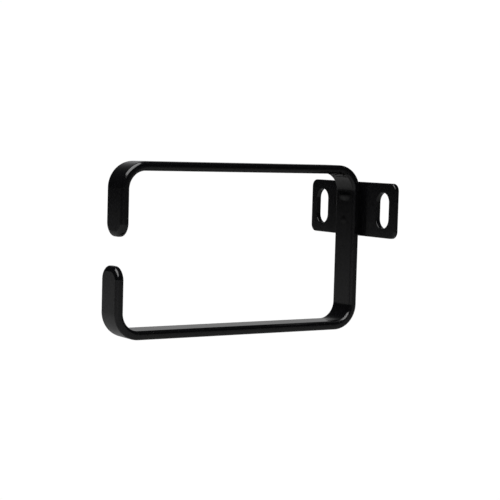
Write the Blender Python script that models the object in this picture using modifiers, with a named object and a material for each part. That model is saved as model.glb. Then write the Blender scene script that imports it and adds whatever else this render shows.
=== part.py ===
"""Wall-mounted hair dryer holder: an open ring bent from flat steel bar, spot-welded to a slotted plate.

Frame: +Z up, the wall at +Y, the ring reaching out to -Y, and the width of the bar along X.
The origin is the middle of the plate's back face, which lies against the wall.
"""

import math

import bmesh
import bpy
from mathutils import Matrix, Vector

MM = 0.001

# Flat bar and the ring that is bent from it
BAR_WIDTH = 14.4 * MM
BAR_THICKNESS = 4.0 * MM
BAR_EDGE_RADIUS = 1.4 * MM
RING_LENGTH = 125.8 * MM
UPPER_RUN_SHORTER_BY = 1.8 * MM
RING_HEIGHT = 76.0 * MM
BEND_OUTER_RADIUS = 11.7 * MM
BEND_STEPS = 12
ENTRY_GAP = 12.3 * MM
ENTRY_GAP_CENTRE_BELOW_RING_CENTRE = 0.3 * MM
BAR_END_CORNER_RADIUS = 5.5 * MM
BAR_END_STEPS = 8

# Mounting plate and its two upright screw slots
PLATE_WIDTH = 65.0 * MM
PLATE_HEIGHT = 25.0 * MM
PLATE_THICKNESS = 2.4 * MM
PLATE_CORNER_RADIUS = 3.4 * MM
PLATE_EDGE_RADIUS = 0.5 * MM
PLATE_CORNER_STEPS = 6
SLOT_WIDTH = 9.0 * MM
SLOT_LENGTH = 16.4 * MM
SLOT_SPACING = 47.2 * MM
SLOT_END_STEPS = 8
PLATE_CENTRE_ABOVE_RING_CENTRE = 18.0 * MM

# Two spot welds, one above the other, hold the plate to the bar
WELD_SPACING = 11.0 * MM
WELD_DIAMETER = 6.0 * MM
WELD_THICKNESS = 2.4 * MM
WELD_EDGE_RADIUS = 0.3 * MM
ROUND_SEGMENTS = 32

# The low oval swelling that each weld leaves on the bar's inner face, as
# (width across the bar, height along it, rise)
WELD_SWELLINGS = {
    "upper": (10.4 * MM, 4.4 * MM, 0.2 * MM),
    "lower": (4.8 * MM, 4.2 * MM, 0.05 * MM),
}
SWELLING_TOP_SHARE = 0.4
SWELLING_SINK = 0.02 * MM

# Touching pieces keep this much air between them
FIT_GAP = 0.3 * MM
CUTTER_OVERSHOOT = 2.0 * MM
SHARP_EDGE_ANGLE = math.radians(40)
SMOOTH_ANGLE = math.radians(35)

# Places that follow from the sizes above
RING_CENTRE_Z = -PLATE_CENTRE_ABOVE_RING_CENTRE
RING_TOP_Z = RING_CENTRE_Z + RING_HEIGHT / 2
RING_BOTTOM_Z = RING_CENTRE_Z - RING_HEIGHT / 2
RING_BACK_Y = -PLATE_THICKNESS - FIT_GAP
RING_FRONT_Y = RING_BACK_Y - RING_LENGTH
ENTRY_CENTRE_Z = RING_CENTRE_Z - ENTRY_GAP_CENTRE_BELOW_RING_CENTRE
UPPER_END_Z = ENTRY_CENTRE_Z + ENTRY_GAP / 2
LOWER_END_Z = ENTRY_CENTRE_Z - ENTRY_GAP / 2
JOINT_FACE_Y = -PLATE_THICKNESS - FIT_GAP / 2
BAR_INNER_FACE_Y = RING_BACK_Y - BAR_THICKNESS


def clear_scene():
    """Starts from an empty file, whatever was open before."""
    for old in list(bpy.data.objects):
        bpy.data.objects.remove(old, do_unlink=True)


def new_collection(name):
    collection = bpy.data.collections.new(name)
    bpy.context.scene.collection.children.link(collection)
    return collection


def black_powder_coat(name, roughness):
    """Semi-gloss black powder coat over steel."""
    material = bpy.data.materials.new(name)
    material.use_nodes = True
    shader = material.node_tree.nodes["Principled BSDF"]
    shader.inputs["Base Color"].default_value = (0.012, 0.012, 0.014, 1.0)
    shader.inputs["Roughness"].default_value = roughness
    shader.inputs["Metallic"].default_value = 0.0
    return material


def weld_metal(name):
    """Bare steel, melted and set again."""
    material = bpy.data.materials.new(name)
    material.use_nodes = True
    shader = material.node_tree.nodes["Principled BSDF"]
    shader.inputs["Base Color"].default_value = (0.42, 0.41, 0.40, 1.0)
    shader.inputs["Roughness"].default_value = 0.45
    shader.inputs["Metallic"].default_value = 1.0
    return material


def object_from_bmesh(bm, name, collection, material=None):
    """Closes a bmesh into a named object with its faces pointing out."""
    bmesh.ops.recalc_face_normals(bm, faces=bm.faces[:])
    mesh = bpy.data.meshes.new(name)
    bm.to_mesh(mesh)
    bm.free()
    mesh.shade_smooth()
    mesh.set_sharp_from_angle(angle=SMOOTH_ANGLE)
    made = bpy.data.objects.new(name, mesh)
    collection.objects.link(made)
    if material is not None:
        mesh.materials.append(material)
    return made


def as_cutter(cutter):
    cutter.hide_render = True
    cutter.display_type = "WIRE"
    return cutter


def add_edge_rounding(made, radius, segments):
    """Rounds the edges that stay sharp after the shape is finished."""
    rounding = made.modifiers.new("edge rounding", "BEVEL")
    rounding.width = radius
    rounding.segments = segments
    rounding.limit_method = "ANGLE"
    rounding.angle_limit = SHARP_EDGE_ANGLE
    rounding.use_clamp_overlap = False


def cut_with(made, cutter):
    cut = made.modifiers.new("cut " + cutter.name, "BOOLEAN")
    cut.operation = "DIFFERENCE"
    cut.object = cutter


def join_with(made, addition):
    join = made.modifiers.new("join " + addition.name, "BOOLEAN")
    join.operation = "UNION"
    join.object = addition


def section_edges(grown):
    """The edges of the newest section: those that join two of its own corners."""
    corners = {item for item in grown if isinstance(item, bmesh.types.BMVert)}
    edges = [item for item in grown if isinstance(item, bmesh.types.BMEdge)]
    return [edge for edge in edges if edge.verts[0] in corners and edge.verts[1] in corners]


def extrude_section(bm, section, travel):
    """Carries the outline of the bar's section straight on, and returns the new outline."""
    grown = bmesh.ops.extrude_edge_only(bm, edges=section)["geom"]
    corners = [item for item in grown if isinstance(item, bmesh.types.BMVert)]
    bmesh.ops.translate(bm, verts=corners, vec=travel)
    return section_edges(grown)


def bend_section(bm, section, centre):
    """Carries the outline round a quarter bend about a line along X, and returns the new outline."""
    turned = bmesh.ops.spin(
        bm, geom=section, cent=centre, axis=(1, 0, 0), angle=-math.pi / 2, steps=BEND_STEPS
    )["geom_last"]
    return section_edges(turned)


def round_bar_ends(bm):
    """Rounds the corners of the two free ends, seen on the wide face of the bar."""
    end_heights = (UPPER_END_Z, LOWER_END_Z)
    corners = []
    for edge in bm.edges:
        a, b = (vert.co for vert in edge.verts)
        on_end = any(abs(a.z - z) < 1e-6 and abs(b.z - z) < 1e-6 for z in end_heights)
        along_thickness = abs(a.x - b.x) < 1e-6 and abs(a.y - b.y) > 1e-6
        if on_end and along_thickness:
            corners.append(edge)
    bmesh.ops.bevel(
        bm,
        geom=corners,
        offset=BAR_END_CORNER_RADIUS,
        offset_type="OFFSET",
        segments=BAR_END_STEPS,
        profile=0.5,
        affect="EDGES",
        material=-1,
    )


def make_ring_strap(collection, material):
    """Bends the flat bar: up from the upper free end, round the ring, and up again to the lower free end."""
    r = BEND_OUTER_RADIUS
    lower_front_centre_y = RING_FRONT_Y + r
    upper_front_centre_y = lower_front_centre_y + UPPER_RUN_SHORTER_BY
    back_centre_y = RING_BACK_Y - r
    upper_centre_z = RING_TOP_Z - r
    lower_centre_z = RING_BOTTOM_Z + r
    bm = bmesh.new()
    bmesh.ops.create_grid(bm, x_segments=1, y_segments=1, size=0.5)
    bmesh.ops.scale(bm, vec=(BAR_WIDTH, BAR_THICKNESS, 1.0), verts=bm.verts[:])
    upper_leg_y = RING_FRONT_Y + UPPER_RUN_SHORTER_BY + BAR_THICKNESS / 2
    start = Vector((0.0, upper_leg_y, UPPER_END_Z))
    bmesh.ops.translate(bm, verts=bm.verts[:], vec=start)
    section = bm.edges[:]
    bmesh.ops.delete(bm, geom=bm.faces[:], context="FACES_ONLY")
    section = extrude_section(bm, section, (0, 0, upper_centre_z - UPPER_END_Z))
    section = bend_section(bm, section, (0, upper_front_centre_y, upper_centre_z))
    section = extrude_section(bm, section, (0, back_centre_y - upper_front_centre_y, 0))
    section = bend_section(bm, section, (0, back_centre_y, upper_centre_z))
    section = extrude_section(bm, section, (0, 0, lower_centre_z - upper_centre_z))
    section = bend_section(bm, section, (0, back_centre_y, lower_centre_z))
    section = extrude_section(bm, section, (0, lower_front_centre_y - back_centre_y, 0))
    section = bend_section(bm, section, (0, lower_front_centre_y, lower_centre_z))
    extrude_section(bm, section, (0, 0, LOWER_END_Z - lower_centre_z))
    bmesh.ops.remove_doubles(bm, verts=bm.verts[:], dist=1e-6)
    bmesh.ops.holes_fill(bm, edges=bm.edges[:], sides=4)
    round_bar_ends(bm)
    strap = object_from_bmesh(bm, "ring_strap", collection, material)
    add_edge_rounding(strap, BAR_EDGE_RADIUS, segments=3)
    return strap


def rounded_block(name, collection, size, corner_radius, steps, material=None):
    """A flat block in the XZ plane with its four corners rounded, centred on its own origin."""
    bm = bmesh.new()
    bmesh.ops.create_cube(bm, size=1.0, matrix=Matrix.Diagonal((*size, 1.0)))
    corners = [edge for edge in bm.edges if abs(edge.verts[0].co.y - edge.verts[1].co.y) > size[1] / 2]
    bmesh.ops.bevel(
        bm,
        geom=corners,
        offset=corner_radius,
        offset_type="OFFSET",
        segments=steps,
        profile=0.5,
        affect="EDGES",
        material=-1,
    )
    bmesh.ops.remove_doubles(bm, verts=bm.verts[:], dist=1e-6)
    return object_from_bmesh(bm, name, collection, material)


def round_disc(name, collection, front_radius, back_radius, depth, material=None, flatness=1.0):
    """A disc whose axis lies along Y, its front face towards -Y. Its height is its width times flatness."""
    bm = bmesh.new()
    bmesh.ops.create_cone(
        bm,
        cap_ends=True,
        cap_tris=False,
        segments=ROUND_SEGMENTS,
        radius1=back_radius,
        radius2=front_radius,
        depth=depth,
        matrix=Matrix.Rotation(math.radians(90), 4, "X") @ Matrix.Diagonal((1.0, flatness, 1.0, 1.0)),
    )
    return object_from_bmesh(bm, name, collection, material)


def make_mounting_plate(collection, cutters, material):
    """The flat plate that lies against the wall, with a screw slot at each side of the ring."""
    size = (PLATE_WIDTH, PLATE_THICKNESS, PLATE_HEIGHT)
    plate = rounded_block(
        "mounting_plate", collection, size, PLATE_CORNER_RADIUS, PLATE_CORNER_STEPS, material
    )
    plate.location = (0, -PLATE_THICKNESS / 2, 0)
    slot_size = (SLOT_WIDTH, PLATE_THICKNESS + CUTTER_OVERSHOOT, SLOT_LENGTH)
    for side, label in ((-1, "left"), (1, "right")):
        slot = as_cutter(
            rounded_block("slot_" + label, cutters, slot_size, SLOT_WIDTH / 2, SLOT_END_STEPS)
        )
        slot.location = (side * SLOT_SPACING / 2, -PLATE_THICKNESS / 2, 0)
        cut_with(plate, slot)
    add_edge_rounding(plate, PLATE_EDGE_RADIUS, segments=2)
    return plate


def make_spot_weld(label, height, collection, cutters, material, strap, plate):
    """One weld: its nugget between bar and plate, the seats it grew in, and the swelling over it on the bar."""
    nugget = round_disc(
        label + "_weld_nugget", collection, WELD_DIAMETER / 2, WELD_DIAMETER / 2, WELD_THICKNESS, material
    )
    nugget.location = (0, JOINT_FACE_Y, height)
    add_edge_rounding(nugget, WELD_EDGE_RADIUS, segments=1)

    seat_radius = WELD_DIAMETER / 2 + FIT_GAP
    seat_depth = WELD_THICKNESS + 2 * FIT_GAP
    seat = as_cutter(round_disc(label + "_weld_seat", cutters, seat_radius, seat_radius, seat_depth))
    seat.location = (0, JOINT_FACE_Y, height)
    cut_with(strap, seat)
    cut_with(plate, seat)

    # The swelling's cone stands a little way inside the bar, so its root is widened by the same slope.
    width, tall, rise = WELD_SWELLINGS[label]
    top_radius = SWELLING_TOP_SHARE * width / 2
    root_radius = width / 2 + (width / 2 - top_radius) * SWELLING_SINK / rise
    swelling = as_cutter(
        round_disc(
            label + "_swelling", cutters, top_radius, root_radius, rise + SWELLING_SINK, flatness=tall / width
        )
    )
    swelling.location = (0, BAR_INNER_FACE_Y - (rise - SWELLING_SINK) / 2, height)
    join_with(strap, swelling)


def build():
    clear_scene()
    pieces = new_collection("hair_dryer_holder")
    cutters = new_collection("cutters")
    strap_coat = black_powder_coat("ring strap coat", roughness=0.32)
    plate_coat = black_powder_coat("plate coat", roughness=0.38)
    bare_steel = weld_metal("weld metal")

    strap = make_ring_strap(pieces, strap_coat)
    plate = make_mounting_plate(pieces, cutters, plate_coat)
    for label, side in (("upper", 1), ("lower", -1)):
        make_spot_weld(label, side * WELD_SPACING / 2, pieces, cutters, bare_steel, strap, plate)

    holder = bpy.data.objects.new("holder_origin", None)
    pieces.objects.link(holder)
    for piece in list(pieces.objects):
        if piece is not holder:
            piece.parent = holder


build()
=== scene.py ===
# Hair dryer holder: an open ring bent from round-edged flat bar, spot-welded to a plate, coated black.
#
# Everything is in metres in the model's own frame: +Z up, the wall at +Y, the ring reaching out to -Y,
# and the bar's width along X. The middle of the plate's back face is the origin.
import math
from collections import namedtuple

import bmesh
import bpy
from mathutils import Matrix, Vector


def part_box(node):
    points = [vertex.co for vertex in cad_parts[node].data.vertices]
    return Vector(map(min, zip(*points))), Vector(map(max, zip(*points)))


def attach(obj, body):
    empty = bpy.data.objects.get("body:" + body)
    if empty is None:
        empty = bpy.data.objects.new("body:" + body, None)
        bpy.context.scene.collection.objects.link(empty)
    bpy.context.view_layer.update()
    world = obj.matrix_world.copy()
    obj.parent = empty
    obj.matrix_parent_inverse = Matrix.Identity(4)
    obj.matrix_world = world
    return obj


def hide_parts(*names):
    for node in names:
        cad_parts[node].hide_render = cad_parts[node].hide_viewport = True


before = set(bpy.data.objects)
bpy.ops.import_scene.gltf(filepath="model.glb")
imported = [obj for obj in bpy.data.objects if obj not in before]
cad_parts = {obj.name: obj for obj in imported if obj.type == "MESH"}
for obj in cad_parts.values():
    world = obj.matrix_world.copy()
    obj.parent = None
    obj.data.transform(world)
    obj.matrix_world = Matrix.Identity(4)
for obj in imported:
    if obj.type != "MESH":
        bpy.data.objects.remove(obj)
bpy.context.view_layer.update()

MM = 0.001

Stretch = namedtuple("Stretch", "start length y z heading radius")
Mark = namedtuple("Mark", "half_across half_along lean rise")
Softbox = namedtuple("Softbox", "name place size watts seen_in_gloss")

# Flat bar, and the ring that is bent from it
BAR_THICKNESS = 4.0 * MM
BAR_EDGE_RADIUS = 1.4 * MM
BAR_EDGE_STEPS = 7
BAR_EDGE_CROWN = 0.15 * MM
BAR_END_CORNER_RADIUS = 5.5 * MM
BAR_END_EDGE_WIDENING = 0.7
BAR_END_STEPS = 14
BEND_OUTER_RADIUS = 11.7 * MM
BEND_STEPS = 24
BEND_SWELL = 0.12 * MM
BEND_SWELL_FADE = 3 * MM
UPPER_RUN_SHORTER_BY = 1.8 * MM
ENTRY_GAP = 12.3 * MM
ENTRY_GAP_CENTRE_BELOW_RING_CENTRE = 0.3 * MM

# Mounting plate
PLATE_CORNER_RADIUS = 3.4 * MM
PLATE_CORNER_STEPS = 10
PLATE_EDGE_RADIUS = 0.5 * MM
PLATE_EDGE_STEPS = 4
SLOT_EDGE_RADIUS = 0.25 * MM
SLOT_WIDTH = 9.0 * MM
SLOT_LENGTH = 16.4 * MM
SLOT_SPACING = 47.2 * MM
SLOT_END_STEPS = 14

# Spot welds: the swelling that each leaves on the bar, the nuggets' seats, and the coat that seals the seam
UPPER_MARK = Mark(half_across=5.2 * MM, half_along=2.2 * MM, lean=0.7 * MM, rise=0.2 * MM)
LOWER_MARK = Mark(half_across=2.4 * MM, half_along=2.1 * MM, lean=0.2 * MM, rise=0.04 * MM)
MARK_CELL = 0.3 * MM
SEAT_CLEARANCE = 0.3 * MM
SEAT_SIDES = 48
SEAM_COAT_INSET = 0.5 * MM
SEAM_COAT_INTO_BEND = 1.7 * MM
SEAM_COAT_LIP = 1.0 * MM
SEAM_COAT_OVERLAP = 0.01 * MM

SHARP_ANGLE = math.radians(35)
RIM_FACE_ANGLE = math.radians(60)

# Finish
BAR_ROUGHNESS = 0.16
PLATE_ROUGHNESS = 0.18
COAT_IOR = 1.5
COAT_BLACK = (0.0022, 0.0022, 0.0026)
COAT_DUST = (0.012, 0.012, 0.012)
PEEL_RIPPLES_PER_METRE = 450.0
PEEL_DEPTH = 0.006 * MM
PEEL_GRAIN = 0.1
GRAIN_FINER_BY = 6.0
PATCHES_PER_METRE = 70.0
PATCH_STRENGTH = 0.06
SPECKS_PER_METRE = 400.0
SPECK_AMOUNT = 0.5
SPECK_RIM = 0.16
SPECK_CORE = 0.06
WELD_GREY = (0.42, 0.41, 0.40)
WELD_ROUGHNESS = 0.45
WELD_RIPPLES_PER_METRE = 1500.0
WELD_RIPPLE_DEPTH = 0.05 * MM

# Studio
FLOOR_DROP = 64 * MM
FLOOR_SIZE = 5.5
FLOOR_GREY = (0.19, 0.19, 0.19)
FLOOR_ROUGHNESS = 0.9
CAMERA_WHITE = 1.02
ROOM_LIGHT = 0.012
BACKDROP_LIGHT = 0.47
BACKDROP_DIRECTION = (-0.81, 0.585, 0.0)
BACKDROP_EDGE = 0.62
BACKDROP_FULL = 0.97
BACKDROP_TOP = 0.65
BACKDROP_FULL_BELOW = 0.25
CAMERA_AZIMUTH = math.radians(57.5132)
CAMERA_ELEVATION = math.radians(4.1145)
CAMERA_ROLL = math.radians(-1.5845)
CAMERA_DISTANCE = 640.75 * MM
CAMERA_RIGHT = 6.38 * MM
CAMERA_DOWN = 0.54 * MM
CAMERA_LENS_MM = 103.546
SENSOR_MM = 36.0
SOFTBOXES = [
    Softbox("key softbox", place=(0.52, -0.42, 0.78), size=(1.6, 0.95), watts=22.0, seen_in_gloss=True),
    Softbox("left floor softbox", place=(-1.0, -0.6, 1.7), size=(0.8, 0.8), watts=18.0, seen_in_gloss=False),
    Softbox("right floor softbox", place=(2.0, 1.3, 2.0), size=(0.8, 0.8), watts=22.0, seen_in_gloss=False),
]

# ---------------------------------------------------------------- shapes


def new_piece(bm, name, material):
    """Closes a bmesh into an object at the origin, smooth except at its sharp edges."""
    mesh = bpy.data.meshes.new(name)
    bm.to_mesh(mesh)
    bm.free()
    mesh.shade_smooth()
    mesh.set_sharp_from_angle(angle=SHARP_ANGLE)
    mesh.materials.append(material)
    piece = bpy.data.objects.new(name, mesh)
    bpy.context.scene.collection.objects.link(piece)
    return piece


def bevel(bm, geom, radius, steps, affect="EDGES"):
    bmesh.ops.bevel(
        bm,
        geom=geom,
        offset=radius,
        offset_type="OFFSET",
        segments=steps,
        profile=0.5,
        affect=affect,
        material=-1,
    )


def slice_faces(bm, faces, place, direction):
    """Cuts the given faces along one plane."""
    edges = {edge for face in faces for edge in face.edges}
    verts = {vert for face in faces for vert in face.verts}
    bmesh.ops.bisect_plane(
        bm, geom=[*verts, *edges, *faces], dist=1e-7, plane_co=place, plane_no=direction
    )


def steep_edges(bm):
    """The edges where two faces meet at a steep angle."""
    return [edge for edge in bm.edges if edge.is_manifold and edge.calc_face_angle() > RIM_FACE_ANGLE]


def even_steps(low, high, count):
    return [low + (high - low) * step / count for step in range(count + 1)]


def let_flat_faces_lead(piece):
    """Shades each flat face flat, so that only the rounded edges curve."""
    piece.modifiers.new("flat faces lead", "WEIGHTED_NORMAL").keep_sharp = True


def keep_shape(piece):
    """Makes the piece's modifiers permanent."""
    finished = piece.evaluated_get(bpy.context.evaluated_depsgraph_get())
    mesh = bpy.data.meshes.new_from_object(finished)
    piece.modifiers.clear()
    piece.data = mesh


def cut_weld_seats(piece, nugget_boxes):
    """Sinks a round seat for each weld nugget."""
    for low, high in nugget_boxes:
        middle = (low + high) / 2
        radius = (high.x - low.x) / 2 + SEAT_CLEARANCE
        depth = high.y - low.y + 2 * SEAT_CLEARANCE
        bm = bmesh.new()
        bmesh.ops.create_cone(
            bm,
            cap_ends=True,
            segments=SEAT_SIDES,
            radius1=radius,
            radius2=radius,
            depth=depth,
            matrix=Matrix.Translation(middle) @ Matrix.Rotation(math.radians(90), 4, "X"),
        )
        cutter = new_piece(bm, "seat_cutter", piece.data.materials[0])
        cut = piece.modifiers.new("weld seat", "BOOLEAN")
        cut.operation = "DIFFERENCE"
        cut.solver = "EXACT"
        cut.object = cutter
        keep_shape(piece)
        bpy.data.objects.remove(cutter, do_unlink=True)


# ---------------------------------------------------------------- ring strap


def place_on(stretch, along, outwards):
    """Where a point of the flat bar lands, as (y, z), once the ring is bent."""
    start_out = Vector((-math.sin(stretch.heading), math.cos(stretch.heading)))
    start = Vector((stretch.y, stretch.z))
    if not stretch.radius:
        forward = Vector((math.cos(stretch.heading), math.sin(stretch.heading)))
        return start + forward * along + start_out * outwards
    heading = stretch.heading - along / stretch.radius
    out = Vector((-math.sin(heading), math.cos(heading)))
    centre = start - start_out * stretch.radius
    return centre + out * (stretch.radius + outwards)


def ring_stretches(low, high):
    """The bar's middle line as straight and bent stretches, from the upper free end to the lower one."""
    r = BEND_OUTER_RADIUS - BAR_THICKNESS / 2
    lower_front = low.y + BAR_THICKNESS / 2
    upper_front = lower_front + UPPER_RUN_SHORTER_BY
    back = high.y - BAR_THICKNESS / 2
    top = high.z - BAR_THICKNESS / 2
    bottom = low.z + BAR_THICKNESS / 2
    gap_middle = (low.z + high.z) / 2 - ENTRY_GAP_CENTRE_BELOW_RING_CENTRE
    upper_end = gap_middle + ENTRY_GAP / 2
    lower_end = gap_middle - ENTRY_GAP / 2
    quarter = math.pi / 2 * r
    pieces = [
        (top - r - upper_end, 0.0),
        (quarter, r),
        (back - upper_front - 2 * r, 0.0),
        (quarter, r),
        (top - bottom - 2 * r, 0.0),
        (quarter, r),
        (back - lower_front - 2 * r, 0.0),
        (quarter, r),
        (lower_end - bottom - r, 0.0),
    ]
    stretches = []
    start = 0.0
    y, z, heading = upper_front, upper_end, math.pi / 2
    for length, radius in pieces:
        stretch = Stretch(start, length, y, z, heading, radius)
        stretches.append(stretch)
        start += length
        y, z = place_on(stretch, length, 0.0)
        if radius:
            heading -= math.pi / 2
    return stretches


def flat_blank(length, width):
    """The bar cut to length, its ends and edges rounded: x runs along it, y across it, z out of the ring."""
    bm = bmesh.new()
    size = (length - 2 * BAR_EDGE_CROWN, width - 2 * BAR_EDGE_CROWN, BAR_THICKNESS)
    bmesh.ops.create_cube(bm, size=1.0, matrix=Matrix.Diagonal((*size, 1.0)))
    bmesh.ops.translate(bm, verts=bm.verts[:], vec=(length / 2, 0, 0))
    corners = [edge for edge in bm.edges if abs(edge.verts[0].co.z - edge.verts[1].co.z) > BAR_THICKNESS / 2]
    bevel(bm, corners, BAR_END_CORNER_RADIUS, BAR_END_STEPS)
    bevel(bm, steep_edges(bm), BAR_EDGE_RADIUS, BAR_EDGE_STEPS)
    slice_faces(bm, bm.faces[:], (0, 0, 0), (0, 0, 1))
    for vert in bm.verts:
        shape_edge(vert, length, width)
    return bm


def shape_edge(vert, length, width):
    """Lets the narrow edge belly out at half thickness, and widens its rounding at the bar's ends."""
    r = BAR_END_CORNER_RADIUS
    core = Vector((
        min(max(vert.co.x, r), length - r),
        min(max(vert.co.y, r - width / 2), width / 2 - r),
        vert.co.z,
    ))
    out = vert.co - core
    sunk = max(r - BAR_EDGE_CROWN - out.length, 0.0)
    nearness = abs(out.x) / out.length if out.length > 0 else 0.0
    fullness = max(1 - (2 * vert.co.z / BAR_THICKNESS) ** 2, 0.0)
    shift = BAR_EDGE_CROWN * fullness - BAR_END_EDGE_WIDENING * sunk * nearness
    vert.co += out.normalized() * shift


def cut_for_bending(bm, stretches):
    """Slices the blank across, closely where it will bend."""
    for stretch in stretches:
        end = stretch.start + stretch.length
        steps = BEND_STEPS if stretch.radius else 1
        for along in even_steps(stretch.start, end, steps):
            if along > 0:
                slice_faces(bm, bm.faces[:], (along, 0, 0), (1, 0, 0))


def weld_zone(bm, low_along, high_along):
    """The faces of the bar's inner side that lie over the welds."""
    slack = 1e-6
    inner = -BAR_THICKNESS / 2
    return [
        face
        for face in bm.faces
        if all(
            vert.co.z < inner + slack and low_along - slack < vert.co.x < high_along + slack
            for vert in face.verts
        )
    ]


def swelling(mark, across, along):
    """How far the bar's inner side stands out here: a low oval mound whose crest leans back along the bar."""
    from_crest = along + mark.lean
    side_length = mark.half_along + math.copysign(mark.lean, from_crest)
    reach = math.hypot(across / mark.half_across, from_crest / side_length)
    return mark.rise * max(1 - reach * reach, 0.0) ** 2


def raise_weld_marks(bm, marks, width):
    """Raises the bar's inner side over each spot weld. Marks are given as (place along the bar, mark)."""
    low_along = min(along - mark.half_along for along, mark in marks)
    high_along = max(along + mark.half_along for along, mark in marks)
    for along in even_steps(low_along, high_along, round((high_along - low_along) / MARK_CELL)):
        slice_faces(bm, bm.faces[:], (along, 0, 0), (1, 0, 0))
    half = width / 2 - BAR_EDGE_RADIUS
    for across in even_steps(-half, half, round(2 * half / MARK_CELL))[1:-1]:
        slice_faces(bm, weld_zone(bm, low_along, high_along), (0, across, 0), (0, 1, 0))
    for vert in {vert for face in weld_zone(bm, low_along, high_along) for vert in face.verts}:
        for along, mark in marks:
            vert.co.z -= swelling(mark, vert.co.y, vert.co.x - along)


def bend_ring(bm, stretches):
    """Bends the flat bar round the ring. In a bend its inner side swells a little wider."""
    for vert in bm.verts:
        along, across, outwards = vert.co
        stretch = max(
            (item for item in stretches if item.start <= along + 1e-7), key=lambda item: item.start,
            default=stretches[0],
        )
        y, z = place_on(stretch, along - stretch.start, outwards)
        if stretch.radius:
            way = (along - stretch.start) / stretch.length
            swell = -2 * outwards / BAR_THICKNESS * BEND_SWELL * math.sin(math.pi * way)
            across += math.copysign(swell, across) * min(1.0, abs(across) / BEND_SWELL_FADE)
        vert.co = (across, y, z)


def make_ring_strap(coat, nugget_boxes):
    low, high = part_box("ring_strap")
    stretches = ring_stretches(low, high)
    back_leg = stretches[4]
    width = high.x - low.x
    bm = flat_blank(stretches[-1].start + stretches[-1].length, width)
    cut_for_bending(bm, stretches)
    weld_heights = [(corner_low.z + corner_high.z) / 2 for corner_low, corner_high in nugget_boxes]
    places = [back_leg.start + back_leg.z - height for height in weld_heights]
    raise_weld_marks(bm, list(zip(places, (UPPER_MARK, LOWER_MARK))), width)
    bend_ring(bm, stretches)
    bmesh.ops.recalc_face_normals(bm, faces=bm.faces[:])
    strap = new_piece(bm, "ring_bar", coat)
    cut_weld_seats(strap, nugget_boxes)
    let_flat_faces_lead(strap)
    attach(strap, "root")
    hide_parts("ring_strap")


# ---------------------------------------------------------------- plate and seam


def rounded_outline(bm, low_x, high_x, height, radius, steps, corners_from_x):
    """Draws a rectangle's outline in the XZ plane, its corners rounded from corners_from_x outwards."""
    made = bmesh.ops.create_grid(bm, x_segments=1, y_segments=1, size=0.5)["verts"]
    turn = Matrix.Rotation(math.radians(90), 4, "X")
    place = Matrix.Translation(((low_x + high_x) / 2, 0, 0)) @ turn
    bmesh.ops.transform(bm, matrix=place @ Matrix.Diagonal((high_x - low_x, height, 1, 1)), verts=made)
    corners = [vert for vert in made if vert.co.x > corners_from_x]
    others = set(bm.verts) - set(made)
    bevel(bm, corners, radius, steps, affect="VERTICES")
    bmesh.ops.delete(bm, geom=bm.faces[:], context="FACES_ONLY")
    return [edge for edge in bm.edges if not (set(edge.verts) & others)]


def is_on_slot(edge):
    """True for an edge of a slot's rim, False for one of the plate's own outline."""
    middle = (edge.verts[0].co + edge.verts[1].co) / 2
    return abs(middle.z) < SLOT_LENGTH * 0.55 and abs(middle.x) < (SLOT_SPACING + SLOT_WIDTH) * 0.55


def make_mounting_plate(coat, nugget_boxes):
    """Half the plate's outline and its slot are filled, mirrored, thickened and given rounded edges."""
    low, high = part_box("mounting_plate")
    bm = bmesh.new()
    rounded_outline(bm, 0, high.x, high.z - low.z, PLATE_CORNER_RADIUS, PLATE_CORNER_STEPS, high.x / 2)
    slot_low = SLOT_SPACING / 2 - SLOT_WIDTH / 2
    slot_high = slot_low + SLOT_WIDTH
    rounded_outline(
        bm, slot_low, slot_high, SLOT_LENGTH, SLOT_WIDTH / 2, SLOT_END_STEPS, slot_low - SLOT_WIDTH
    )
    bmesh.ops.remove_doubles(bm, verts=bm.verts[:], dist=1e-6)
    bmesh.ops.triangle_fill(bm, use_beauty=True, edges=bm.edges[:])
    bmesh.ops.mirror(bm, geom=bm.verts[:] + bm.edges[:] + bm.faces[:], axis="X", merge_dist=1e-6)
    bmesh.ops.translate(bm, verts=bm.verts[:], vec=(0, high.y, 0))
    grown = bmesh.ops.extrude_face_region(bm, geom=bm.faces[:])["geom"]
    front = [item for item in grown if isinstance(item, bmesh.types.BMVert)]
    bmesh.ops.translate(bm, verts=front, vec=(0, low.y - high.y, 0))
    bmesh.ops.recalc_face_normals(bm, faces=bm.faces[:])
    bevel(bm, [edge for edge in steep_edges(bm) if is_on_slot(edge)], SLOT_EDGE_RADIUS, PLATE_EDGE_STEPS)
    bevel(bm, [edge for edge in steep_edges(bm) if not is_on_slot(edge)], PLATE_EDGE_RADIUS, PLATE_EDGE_STEPS)
    plate = new_piece(bm, "wall_plate", coat)
    cut_weld_seats(plate, nugget_boxes)
    let_flat_faces_lead(plate)
    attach(plate, "root")
    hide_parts("mounting_plate")


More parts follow.
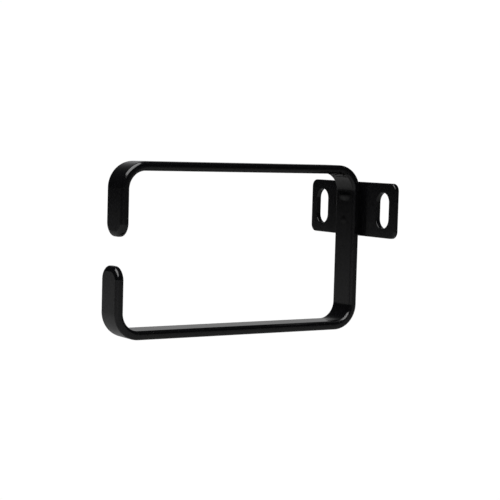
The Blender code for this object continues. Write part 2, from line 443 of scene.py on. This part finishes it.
def make_seam_coat(coat):
    """The coat that runs into the seam between bar and plate and seals it all round."""
    strap_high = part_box("ring_strap")[1]
    plate_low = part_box("mounting_plate")[0]
    half_width = strap_high.x - BAR_EDGE_RADIUS + SEAM_COAT_INSET
    top = strap_high.z - BEND_OUTER_RADIUS + SEAM_COAT_INTO_BEND
    bottom = plate_low.z + SEAM_COAT_INSET
    bm = bmesh.new()
    turn = Matrix.Rotation(math.radians(90), 4, "X")
    bmesh.ops.create_grid(bm, x_segments=1, y_segments=1, size=0.5, matrix=turn)
    bmesh.ops.scale(bm, vec=(2 * half_width, 1, top - bottom), verts=bm.verts[:])
    middle = bm.faces[:]
    bmesh.ops.inset_region(bm, faces=middle, thickness=SEAM_COAT_LIP, use_even_offset=True, use_boundary=True)
    bmesh.ops.delete(bm, geom=middle, context="FACES")
    grown = bmesh.ops.extrude_face_region(bm, geom=bm.faces[:])["geom"]
    front = [item for item in grown if isinstance(item, bmesh.types.BMVert)]
    depth = plate_low.y - strap_high.y + 2 * SEAM_COAT_OVERLAP
    bmesh.ops.translate(bm, verts=front, vec=(0, -depth, 0))
    bmesh.ops.translate(bm, verts=bm.verts[:], vec=(0, plate_low.y + SEAM_COAT_OVERLAP, (top + bottom) / 2))
    bmesh.ops.recalc_face_normals(bm, faces=bm.faces[:])
    seam = new_piece(bm, "seam_coat", coat)
    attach(seam, "root")


# ---------------------------------------------------------------- finishes


def new_group(name, inputs, outputs):
    """A node group with float inputs given as (name, value) and outputs given as names."""
    group = bpy.data.node_groups.new(name, "ShaderNodeTree")
    for label, value in inputs:
        socket = group.interface.new_socket(label, in_out="INPUT", socket_type="NodeSocketFloat")
        socket.default_value = value
    for label in outputs:
        group.interface.new_socket(label, in_out="OUTPUT", socket_type="NodeSocketFloat")
    return group, group.nodes.new("NodeGroupInput"), group.nodes.new("NodeGroupOutput")


def math_node(tree, operation, first, second):
    """Joins two values, each a number or a socket, and returns the result's socket."""
    node = tree.nodes.new("ShaderNodeMath")
    node.operation = operation
    for socket, value in zip(node.inputs, (first, second)):
        if isinstance(value, (int, float)):
            socket.default_value = value
        else:
            tree.links.new(value, socket)
    return node.outputs[0]


def soft_step(tree, value, none_at, full_at):
    """Rises smoothly from 0 to 1 as the value goes from one number to the other, and returns the socket."""
    step = tree.nodes.new("ShaderNodeMapRange")
    step.interpolation_type = "SMOOTHSTEP"
    step.inputs["From Min"].default_value = none_at
    step.inputs["From Max"].default_value = full_at
    tree.links.new(value, step.inputs["Value"])
    return step.outputs["Result"]


def orange_peel_group():
    """The soft ripple that powder leaves as it melts and sets, with a finer grain on it."""
    inputs = [("Ripples per Metre", PEEL_RIPPLES_PER_METRE), ("Grain", PEEL_GRAIN)]
    group, given, out = new_group("orange peel", inputs, ["Height"])
    place = group.nodes.new("ShaderNodeTexCoord").outputs["Object"]
    ripple = group.nodes.new("ShaderNodeTexNoise")
    ripple.inputs["Detail"].default_value = 1.0
    group.links.new(place, ripple.inputs["Vector"])
    group.links.new(given.outputs["Ripples per Metre"], ripple.inputs["Scale"])
    grain = group.nodes.new("ShaderNodeTexNoise")
    grain.inputs["Detail"].default_value = 2.0
    group.links.new(place, grain.inputs["Vector"])
    grains_per_metre = math_node(group, "MULTIPLY", given.outputs["Ripples per Metre"], GRAIN_FINER_BY)
    group.links.new(grains_per_metre, grain.inputs["Scale"])
    grain_part = math_node(group, "MULTIPLY", grain.outputs["Fac"], given.outputs["Grain"])
    height = math_node(group, "ADD", ripple.outputs["Fac"], grain_part)
    group.links.new(height, out.inputs["Height"])
    return group


def coat_film_group():
    """Slow patches where the coat set a little duller or glossier, and a few fine specks."""
    inputs = [
        ("Roughness", PLATE_ROUGHNESS),
        ("Patch Strength", PATCH_STRENGTH),
        ("Speck Amount", SPECK_AMOUNT),
    ]
    group, given, out = new_group("coat film", inputs, ["Roughness", "Speck"])
    place = group.nodes.new("ShaderNodeTexCoord").outputs["Object"]
    patch = group.nodes.new("ShaderNodeTexNoise")
    patch.inputs["Scale"].default_value = PATCHES_PER_METRE
    patch.inputs["Detail"].default_value = 4.0
    group.links.new(place, patch.inputs["Vector"])
    centred = math_node(group, "SUBTRACT", patch.outputs["Fac"], 0.5)
    change = math_node(group, "MULTIPLY", centred, given.outputs["Patch Strength"])
    group.links.new(math_node(group, "ADD", given.outputs["Roughness"], change), out.inputs["Roughness"])
    speck = group.nodes.new("ShaderNodeTexVoronoi")
    speck.inputs["Scale"].default_value = SPECKS_PER_METRE
    group.links.new(place, speck.inputs["Vector"])
    near = group.nodes.new("ShaderNodeMapRange")
    near.inputs["From Min"].default_value = SPECK_RIM
    near.inputs["From Max"].default_value = SPECK_CORE
    group.links.new(speck.outputs["Distance"], near.inputs["Value"])
    dusted = math_node(group, "MULTIPLY", near.outputs["Result"], given.outputs["Speck Amount"])
    group.links.new(dusted, out.inputs["Speck"])
    return group


def powder_coat(name, peel, film, roughness):
    """Black powder coat of a given gloss, with orange peel, duller patches and dusty specks."""
    material = bpy.data.materials.new(name)
    material.use_nodes = True
    tree = material.node_tree
    shader = tree.nodes["Principled BSDF"]
    shader.inputs["IOR"].default_value = COAT_IOR
    surface = tree.nodes.new("ShaderNodeGroup")
    surface.node_tree = film
    surface.inputs["Roughness"].default_value = roughness
    tree.links.new(surface.outputs["Roughness"], shader.inputs["Roughness"])
    tint = tree.nodes.new("ShaderNodeMix")
    tint.data_type = "RGBA"
    tint.inputs["A"].default_value = (*COAT_BLACK, 1.0)
    tint.inputs["B"].default_value = (*COAT_DUST, 1.0)
    tree.links.new(surface.outputs["Speck"], tint.inputs["Factor"])
    tree.links.new(tint.outputs["Result"], shader.inputs["Base Color"])
    ripple = tree.nodes.new("ShaderNodeGroup")
    ripple.node_tree = peel
    bump = tree.nodes.new("ShaderNodeBump")
    bump.inputs["Strength"].default_value = 1.0
    bump.inputs["Distance"].default_value = PEEL_DEPTH
    tree.links.new(ripple.outputs["Height"], bump.inputs["Height"])
    tree.links.new(bump.outputs["Normal"], shader.inputs["Normal"])
    return material


def weld_steel(name, peel):
    """Bare steel of the nuggets, melted and set, with a rippled skin."""
    material = bpy.data.materials.new(name)
    material.use_nodes = True
    tree = material.node_tree
    shader = tree.nodes["Principled BSDF"]
    shader.inputs["Base Color"].default_value = (*WELD_GREY, 1.0)
    shader.inputs["Metallic"].default_value = 1.0
    shader.inputs["Roughness"].default_value = WELD_ROUGHNESS
    ripple = tree.nodes.new("ShaderNodeGroup")
    ripple.node_tree = peel
    ripple.inputs["Ripples per Metre"].default_value = WELD_RIPPLES_PER_METRE
    bump = tree.nodes.new("ShaderNodeBump")
    bump.inputs["Distance"].default_value = WELD_RIPPLE_DEPTH
    tree.links.new(ripple.outputs["Height"], bump.inputs["Height"])
    tree.links.new(bump.outputs["Normal"], shader.inputs["Normal"])
    return material


# ---------------------------------------------------------------- studio


def white_for_camera(tree, shaded):
    """The camera sees plain white here, while the object is lit by and reflects the shader given."""
    white = tree.nodes.new("ShaderNodeEmission")
    white.inputs["Color"].default_value = (1.0, 1.0, 1.0, 1.0)
    white.inputs["Strength"].default_value = CAMERA_WHITE
    chooser = tree.nodes.new("ShaderNodeMixShader")
    path = tree.nodes.new("ShaderNodeLightPath")
    tree.links.new(path.outputs["Is Camera Ray"], chooser.inputs["Fac"])
    tree.links.new(shaded, chooser.inputs[1])
    tree.links.new(white.outputs["Emission"], chooser.inputs[2])
    return chooser.outputs["Shader"]


def make_floor():
    """A pale floor that can be looked through from below."""
    bm = bmesh.new()
    bmesh.ops.create_grid(bm, x_segments=4, y_segments=4, size=FLOOR_SIZE / 2)
    bmesh.ops.translate(bm, verts=bm.verts[:], vec=(0, 0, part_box("ring_strap")[0].z - FLOOR_DROP))
    material = bpy.data.materials.new("pale floor")
    material.use_nodes = True
    tree = material.node_tree
    shader = tree.nodes["Principled BSDF"]
    shader.inputs["Base Color"].default_value = (*FLOOR_GREY, 1.0)
    shader.inputs["Roughness"].default_value = FLOOR_ROUGHNESS
    shader.inputs["Specular IOR Level"].default_value = 0.0
    one_sided = tree.nodes.new("ShaderNodeMixShader")
    side = tree.nodes.new("ShaderNodeNewGeometry")
    clear = tree.nodes.new("ShaderNodeBsdfTransparent")
    tree.links.new(side.outputs["Backfacing"], one_sided.inputs["Fac"])
    tree.links.new(white_for_camera(tree, shader.outputs["BSDF"]), one_sided.inputs[1])
    tree.links.new(clear.outputs["BSDF"], one_sided.inputs[2])
    tree.links.new(one_sided.outputs["Shader"], tree.nodes["Material Output"].inputs["Surface"])
    new_piece(bm, "floor", material)


def make_surroundings():
    """A dim room with a pale backdrop low down behind the object."""
    world = bpy.data.worlds.new("room")
    bpy.context.scene.world = world
    world.use_nodes = True
    tree = world.node_tree
    tree.nodes.clear()
    direction = tree.nodes.new("ShaderNodeTexCoord").outputs["Generated"]
    facing = tree.nodes.new("ShaderNodeVectorMath")
    facing.operation = "DOT_PRODUCT"
    tree.links.new(direction, facing.inputs[0])
    facing.inputs[1].default_value = BACKDROP_DIRECTION
    sideways = soft_step(tree, facing.outputs["Value"], BACKDROP_EDGE, BACKDROP_FULL)
    split = tree.nodes.new("ShaderNodeSeparateXYZ")
    tree.links.new(direction, split.inputs["Vector"])
    upwards = soft_step(tree, split.outputs["Z"], BACKDROP_TOP, BACKDROP_FULL_BELOW)
    backdrop = math_node(tree, "MULTIPLY", sideways, upwards)
    light = math_node(tree, "ADD", math_node(tree, "MULTIPLY", backdrop, BACKDROP_LIGHT), ROOM_LIGHT)
    room = tree.nodes.new("ShaderNodeBackground")
    tree.links.new(light, room.inputs["Strength"])
    output = tree.nodes.new("ShaderNodeOutputWorld")
    tree.links.new(white_for_camera(tree, room.outputs["Background"]), output.inputs["Surface"])


def hang_softbox(softbox):
    """A soft rectangular light that hangs flat and shines straight down."""
    lamp = bpy.data.lights.new(softbox.name, "AREA")
    lamp.shape = "RECTANGLE"
    lamp.size, lamp.size_y = softbox.size
    lamp.energy = softbox.watts
    fixture = bpy.data.objects.new(softbox.name, lamp)
    bpy.context.scene.collection.objects.link(fixture)
    fixture.location = softbox.place
    fixture.visible_camera = False
    fixture.visible_glossy = softbox.seen_in_gloss


def make_camera(target):
    right = Vector((math.cos(CAMERA_AZIMUTH), math.sin(CAMERA_AZIMUTH), 0.0))
    back = Vector((
        math.sin(CAMERA_AZIMUTH) * math.cos(CAMERA_ELEVATION),
        -math.cos(CAMERA_AZIMUTH) * math.cos(CAMERA_ELEVATION),
        math.sin(CAMERA_ELEVATION),
    ))
    up = back.cross(right)
    place = target + back * CAMERA_DISTANCE + right * CAMERA_RIGHT - up * CAMERA_DOWN
    turn = Matrix((right, up, back)).transposed().to_4x4() @ Matrix.Rotation(-CAMERA_ROLL, 4, "Z")
    lens = bpy.data.cameras.new("camera")
    lens.lens = CAMERA_LENS_MM
    lens.sensor_width = SENSOR_MM
    camera = bpy.data.objects.new("camera", lens)
    bpy.context.scene.collection.objects.link(camera)
    camera.matrix_world = Matrix.Translation(place) @ turn
    bpy.context.scene.camera = camera


def build():
    peel = orange_peel_group()
    film = coat_film_group()
    bar_coat = powder_coat("bar powder coat", peel, film, BAR_ROUGHNESS)
    plate_coat = powder_coat("plate powder coat", peel, film, PLATE_ROUGHNESS)
    nugget_steel = weld_steel("weld steel", peel)

    nuggets = ("upper_weld_nugget", "lower_weld_nugget")
    nugget_boxes = [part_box(name) for name in nuggets]
    for name in nuggets:
        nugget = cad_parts[name]
        nugget.data.materials.clear()
        nugget.data.materials.append(nugget_steel)
    make_ring_strap(bar_coat, nugget_boxes)
    make_mounting_plate(plate_coat, nugget_boxes)
    make_seam_coat(plate_coat)

    low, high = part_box("ring_strap")
    ring_centre = (low + high) / 2
    make_floor()
    make_surroundings()
    for softbox in SOFTBOXES:
        hang_softbox(softbox)
    make_camera(ring_centre)
    bpy.context.scene.view_settings.view_transform = "Standard"


build()
